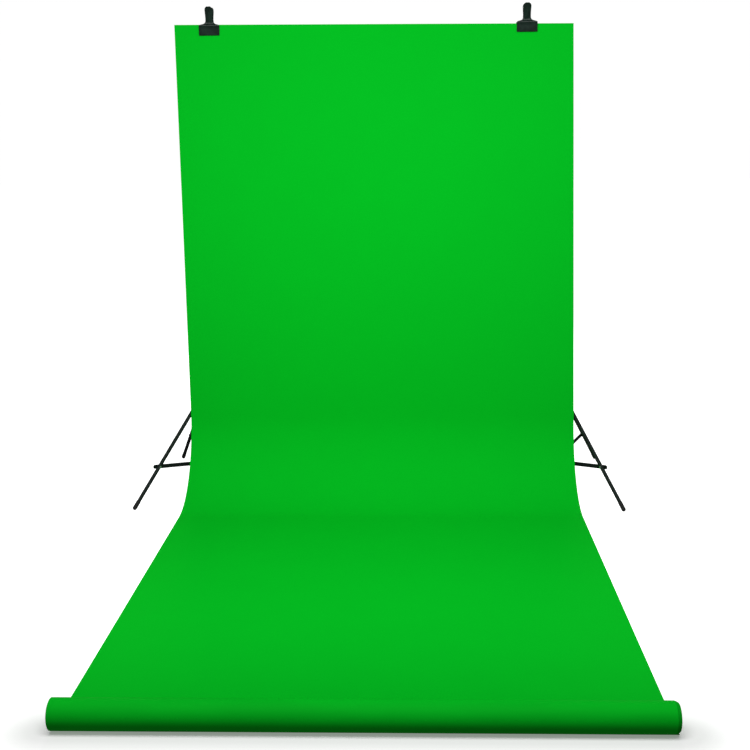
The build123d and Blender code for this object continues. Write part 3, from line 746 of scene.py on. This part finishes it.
def build_end_plugs(sizes):
    """Plastic plug in each end of the crossbar: a plain shank and a rounded cap."""
    inner = BAR_RADIUS - sizes.bar_wall - 0.0001
    rings = (
        (PLUG_DEPTH, inner),
        (PLUG_DEPTH, BAR_RADIUS - 0.0004),
        (PLUG_DEPTH + 0.0012, BAR_RADIUS - 0.0002),
        (PLUG_DEPTH + 0.0019, BAR_RADIUS - 0.0016),
    )
    right_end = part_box("crossbar_right_section")[1].x
    for name, end, outward in (("left", BAR_LOW.x, -1), ("right", right_end, 1)):
        start = Vector((end - outward * PLUG_DEPTH, BAR_CENTRE.y, BAR_CENTRE.z))
        plug = turned_piece(f"crossbar_{name}_plug", inner, rings, (outward, 0, 0), start)
        dress(plug, "black_plastic", "crossbar")


# ---- sizes and colours ----


class BackdropSizes(bpy.types.PropertyGroup):
    """Sizes of the pieces that are modelled here."""

    floor_run: bpy.props.FloatProperty(
        name="Floor run",
        description="Paper along the floor, from the roll's axis to the cove",
        default=1.45,
        unit="LENGTH",
    )
    cove_radius: bpy.props.FloatProperty(
        name="Cove radius",
        description="Radius of the sweep between wall and floor",
        default=0.295,
        unit="LENGTH",
    )
    drop_lean: bpy.props.FloatProperty(
        name="Drop lean",
        description="Lean of the hanging paper, in degrees from upright",
        default=3.86,
    )
    sheet_thickness: bpy.props.FloatProperty(
        name="Paper thickness",
        description="Thickness of the paper",
        default=0.0003,
        unit="LENGTH",
        precision=5,
    )
    sheet_gap: bpy.props.FloatProperty(
        name="Roll gap",
        description="Gap between the floor run and the roll",
        default=0.0008,
        unit="LENGTH",
        precision=5,
    )
    tuck_angle: bpy.props.FloatProperty(
        name="Tuck",
        description="How far the sheet turns up round the roll",
        default=0.35,
        subtype="ANGLE",
    )
    top_shift: bpy.props.FloatProperty(
        name="Top shift",
        description="How far the top edge hangs to one side",
        default=-0.02,
        unit="LENGTH",
    )
    top_skew: bpy.props.FloatProperty(
        name="Top skew",
        description="How far the top edge's ends stand above and below its middle",
        default=0.005,
        unit="LENGTH",
    )
    drop_ripple: bpy.props.FloatProperty(
        name="Ripple",
        description="Bow of the hanging paper out of its plane",
        default=0.004,
        unit="LENGTH",
    )
    left_end_steps: bpy.props.FloatVectorProperty(
        name="Left end steps",
        description="How far each group of layers stands out beyond the one outside it, in millimetres",
        size=6,
        default=(0.9, 0.4, 0.5, -0.4, 0.4, -1.0),
    )
    right_end_steps: bpy.props.FloatVectorProperty(
        name="Right end steps",
        description="The same at the right end, where the layers have slipped into a shallow cone",
        size=6,
        default=(2.4, 1.9, 1.7, 1.4, 1.0, 0.6),
    )


class FittingSizes(bpy.types.PropertyGroup):
    """Sizes of the clips, rivets and plugs."""

    front_jaw_reach: bpy.props.FloatProperty(
        name="Front jaw",
        description="Middle of the front jaw plate, out from the hinge",
        default=0.0155,
        unit="LENGTH",
    )
    rear_jaw_reach: bpy.props.FloatProperty(
        name="Rear jaw",
        description="Middle of the rear jaw plate, out from the hinge",
        default=0.0146,
        unit="LENGTH",
    )
    front_ear: bpy.props.FloatProperty(
        name="Front ears",
        description="Front ears, out from the clip's middle",
        default=0.011,
        unit="LENGTH",
    )
    rear_ear: bpy.props.FloatProperty(
        name="Rear ears",
        description="Rear ears, out from the clip's middle",
        default=0.0086,
        unit="LENGTH",
    )
    clip_plate: bpy.props.FloatProperty(
        name="Clip plate",
        description="Thickness of the pressed arms",
        default=0.002,
        unit="LENGTH",
        precision=4,
    )
    handle_crown: bpy.props.FloatProperty(
        name="Handle crown",
        description="How far the handle's middle stands out",
        default=0.0022,
        unit="LENGTH",
        precision=4,
    )
    leg_angle: bpy.props.FloatProperty(
        name="Leg angle",
        description="Spread of each leg from the column",
        default=radians(46.452),
        subtype="ANGLE",
    )
    leg_radius: bpy.props.FloatProperty(
        name="Leg radius",
        description="Outer radius of a leg",
        default=0.0065,
        unit="LENGTH",
        precision=4,
    )
    brace_joint_down_leg: bpy.props.FloatProperty(
        name="Brace joint",
        description="Rivet's distance down the leg from its pivot",
        default=0.314,
        unit="LENGTH",
    )
    brace_stack: bpy.props.FloatProperty(
        name="Brace stack",
        description="Gap and brace thickness beside the leg",
        default=0.0036,
        unit="LENGTH",
        precision=4,
    )
    bar_wall: bpy.props.FloatProperty(
        name="Bar wall",
        description="Wall of the crossbar tube",
        default=0.0012,
        unit="LENGTH",
        precision=4,
    )


def colour_property(name, description, default):
    return bpy.props.FloatVectorProperty(
        name=name, description=description, size=3, default=default, subtype="COLOR", min=0.0, max=1.0
    )


class BackdropFinishes(bpy.types.PropertyGroup):
    """Base colours of the finishes."""

    paper_colour: colour_property("Paper", "Dye of the seamless paper", (0.001, 0.5, 0.016))
    board_colour: colour_property("Core board", "Brown board of the core", (0.36, 0.24, 0.14))
    tube_colour: colour_property("Tube coating", "Powder coat on tubes and braces", (0.006, 0.011, 0.009))
    clip_colour: colour_property("Clip lacquer", "Lacquer on the spring clips", (0.004, 0.013, 0.009))
    plastic_colour: colour_property("Plastic", "Moulded locks and knobs", (0.013, 0.014, 0.014))
    rubber_colour: colour_property("Rubber", "Feet", (0.016, 0.016, 0.016))
    steel_colour: colour_property("Steel", "Studs, pins and wing nuts", (0.55, 0.55, 0.57))


# ---- operators ----


class BACKDROP_OT_sheet(bpy.types.Operator):
    """Hang the seamless paper from the crossbar and sweep it along the floor"""

    bl_idname = "backdrop.sheet"
    bl_label = "Hanging Paper"

    def execute(self, context):
        build_sheet(context.scene.backdrop_sizes)
        return {"FINISHED"}


class BACKDROP_OT_roll(bpy.types.Operator):
    """Wind the rest of the paper on its core"""

    bl_idname = "backdrop.roll"
    bl_label = "Paper Roll"

    def execute(self, context):
        build_roll(context.scene.backdrop_sizes)
        return {"FINISHED"}


class BACKDROP_OT_clips(bpy.types.Operator):
    """Press the arms of both spring clips and close them on the bar"""

    bl_idname = "backdrop.clips"
    bl_label = "Spring Clips"

    def execute(self, context):
        for side in SIDES:
            build_clip(side, context.scene.fitting_sizes)
        return {"FINISHED"}


class BACKDROP_OT_rivets(bpy.types.Operator):
    """Rivet each brace to its leg"""

    bl_idname = "backdrop.rivets"
    bl_label = "Leg Rivets"

    def execute(self, context):
        build_rivets(context.scene.fitting_sizes)
        return {"FINISHED"}


class BACKDROP_OT_plugs(bpy.types.Operator):
    """Close the ends of the crossbar"""

    bl_idname = "backdrop.plugs"
    bl_label = "Crossbar Plugs"

    def execute(self, context):
        build_end_plugs(context.scene.fitting_sizes)
        return {"FINISHED"}


class BACKDROP_OT_frame_finishes(bpy.types.Operator):
    """Give every frame part that stays in view its own finish"""

    bl_idname = "backdrop.frame_finishes"
    bl_label = "Frame Finishes"

    def execute(self, context):
        slots = {row["node"]: row["material_slot"] for row in frame["record"]["subparts"]}
        for name, part in frame["nodes"].items():
            part.data.materials.clear()
            part.data.materials.append(finish_for(slots[name]))
        return {"FINISHED"}


class BACKDROP_OT_studio(bpy.types.Operator):
    """Lay the pale floor, set the soft lights and place the camera"""

    bl_idname = "backdrop.studio"
    bl_label = "Studio"

    def execute(self, context):
        scene = context.scene
        scene.view_settings.view_transform = "Standard"
        clear_selection()
        bpy.ops.mesh.primitive_plane_add(size=60.0, location=(0, 0, -0.0006))
        floor = newly_made("studio_floor")
        floor.data.materials.append(floor_paint())
        floor.visible_diffuse = False
        floor.visible_glossy = False
        clear_selection()
        bpy.ops.mesh.primitive_uv_sphere_add(segments=48, ring_count=24, radius=28.0)
        dome = newly_made("studio_dome")
        dome.data.materials.append(dome_paint())
        for ray in ("diffuse", "glossy", "transmission", "volume_scatter", "shadow"):
            setattr(dome, f"visible_{ray}", False)
        world = bpy.data.worlds.new("Soft studio")
        scene.world = world
        world.use_nodes = True
        world.node_tree.nodes["Background"].inputs["Color"].default_value = (1.0, 1.0, 1.0, 1.0)
        world.node_tree.nodes["Background"].inputs["Strength"].default_value = FILL
        for name, place, aim, width, length, power, mirrored in LAMPS:
            light = bpy.data.lights.new(name, "AREA")
            light.shape = "RECTANGLE"
            light.size = width
            light.size_y = length
            light.energy = power
            lamp = bpy.data.objects.new(name, light)
            scene.collection.objects.link(lamp)
            lamp.visible_glossy = mirrored
            lamp.location = place
            lamp.rotation_euler = (Vector(aim) - Vector(place)).to_track_quat("-Z", "Y").to_euler()
        lens = bpy.data.cameras.new("Camera")
        lens.sensor_width = 36.0
        lens.lens = CAMERA_LENS
        lens.clip_end = 200.0
        camera = bpy.data.objects.new("Camera", lens)
        scene.collection.objects.link(camera)
        yaw, pitch, roll = CAMERA_YAW, CAMERA_PITCH, CAMERA_ROLL
        forward = Vector((sin(yaw) * cos(pitch), cos(yaw) * cos(pitch), -sin(pitch)))
        level = Vector((cos(yaw), -sin(yaw), 0.0))
        down = forward.cross(level)
        right = level * cos(roll) + down * sin(roll)
        under = down * cos(roll) - level * sin(roll)
        camera.matrix_world = Matrix(
            (
                (right.x, -under.x, -forward.x, CAMERA_PLACE[0]),
                (right.y, -under.y, -forward.y, CAMERA_PLACE[1]),
                (right.z, -under.z, -forward.z, CAMERA_PLACE[2]),
                (0.0, 0.0, 0.0, 1.0),
            )
        )
        scene.camera = camera
        return {"FINISHED"}


class BACKDROP_PT_panel(bpy.types.Panel):
    """Sidebar panel that lists the pieces"""

    bl_label = "Backdrop"
    bl_idname = "BACKDROP_PT_panel"
    bl_space_type = "VIEW_3D"
    bl_region_type = "UI"
    bl_category = "Backdrop"

    def draw(self, context):
        for step in STEPS:
            self.layout.operator(step.bl_idname)


STEPS = (
    BACKDROP_OT_frame_finishes,
    BACKDROP_OT_sheet,
    BACKDROP_OT_roll,
    BACKDROP_OT_clips,
    BACKDROP_OT_rivets,
    BACKDROP_OT_plugs,
    BACKDROP_OT_studio,
)
CLASSES = (BackdropSizes, FittingSizes, BackdropFinishes, *STEPS, BACKDROP_PT_panel)


def register():
    for cls in CLASSES:
        bpy.utils.register_class(cls)
    bpy.types.Scene.backdrop_sizes = bpy.props.PointerProperty(type=BackdropSizes)
    bpy.types.Scene.fitting_sizes = bpy.props.PointerProperty(type=FittingSizes)
    bpy.types.Scene.backdrop_finishes = bpy.props.PointerProperty(type=BackdropFinishes)


def unregister():
    del bpy.types.Scene.backdrop_finishes
    del bpy.types.Scene.fitting_sizes
    del bpy.types.Scene.backdrop_sizes
    for cls in reversed(CLASSES):
        bpy.utils.unregister_class(cls)


def main():
    register()
    for step in STEPS:
        group, name = step.bl_idname.split(".")
        getattr(getattr(bpy.ops, group), name)()


if __name__ == "__main__":
    main()
